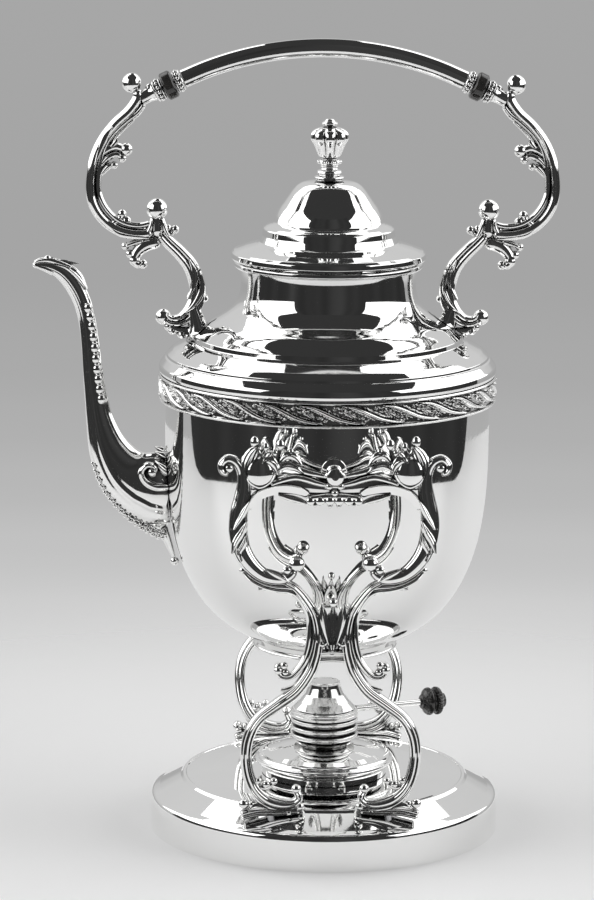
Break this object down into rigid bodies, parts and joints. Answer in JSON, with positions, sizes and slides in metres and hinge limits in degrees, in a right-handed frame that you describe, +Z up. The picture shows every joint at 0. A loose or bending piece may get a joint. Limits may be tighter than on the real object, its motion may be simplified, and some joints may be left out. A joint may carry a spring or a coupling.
{
  "type": "tea kettle on stand",
  "caption": "Silver-plated tea kettle with an arched, insulated handle, tilting on the scroll brackets of a round stand over a small spirit lamp.",
  "frame": {"origin": "on the table, in the middle of the ring that the base stands on", "axes": "+Z up, -X towards the spout, -Y towards the front bracket"},
  "size_m": [0.2274, 0.169, 0.3457],
  "materials": {
    "polished_silver": "mirror-polished silver plate",
    "cast_silver": "polished castings with darker hollows",
    "burner_silver": "silver plate with fine wear",
    "black_insulator": "black, softly glossy",
    "steel": "plain steel",
    "cotton": "undyed braided cotton"
  },
  "bodies": {
    "stand": {"base_disc": "polished_silver", "front_left_screw": "steel", "front_right_screw": "steel", "rear_left_screw": "steel", "rear_right_screw": "steel", "front_bracket": "cast_silver", "rear_bracket": "cast_silver", "lamp_seat_ring": "polished_silver"},
    "kettle": {"kettle_bowl": "polished_silver", "foot_ring": "polished_silver", "ornament_band": "cast_silver", "kettle_shoulder": "polished_silver", "neck_rim": "polished_silver", "spout": "cast_silver", "front_trunnion": "cast_silver", "rear_trunnion": "cast_silver", "left_handle_bracket": "cast_silver", "right_handle_bracket": "cast_silver", "left_grip_collar": "cast_silver", "right_grip_collar": "cast_silver", "left_insulator": "black_insulator", "right_insulator": "black_insulator", "left_bracket_collar": "cast_silver", "right_bracket_collar": "cast_silver", "left_handle_pin": "steel", "right_handle_pin": "steel", "handle_grip": "polished_silver"},
    "lid": {"lid_shell": "polished_silver", "lid_bezel": "polished_silver", "lid_finial": "cast_silver", "finial_nut": "steel"},
    "lamp": {"lamp_reservoir": "polished_silver", "burner_collar": "burner_silver", "wick_tube": "burner_silver", "wick": "cotton"},
    "cap": {"cone_cap": "burner_silver", "lever_rod": "burner_silver", "lever_knob": "black_insulator"}
  },
  "joints": [
    {"name": "kettle_tilt", "type": "hinge", "parent": "stand", "child": "kettle", "pos_m": [0, 0, 0.1725], "axis": [0, -1, 0], "range_deg": [0, 60]},
    {"name": "lid_lift", "type": "slide", "parent": "kettle", "child": "lid", "axis": [0, 0, 1], "range_m": [0, 0.02]},
    {"name": "lamp_lift", "type": "slide", "parent": "stand", "child": "lamp", "axis": [0, 0, 1], "range_m": [0, 0.01]},
    {"name": "cap_turn", "type": "hinge", "parent": "lamp", "child": "cap", "pos_m": [0, 0, 0.05], "axis": [0, 0, 1], "range_deg": [-60, 60]}
  ]
}
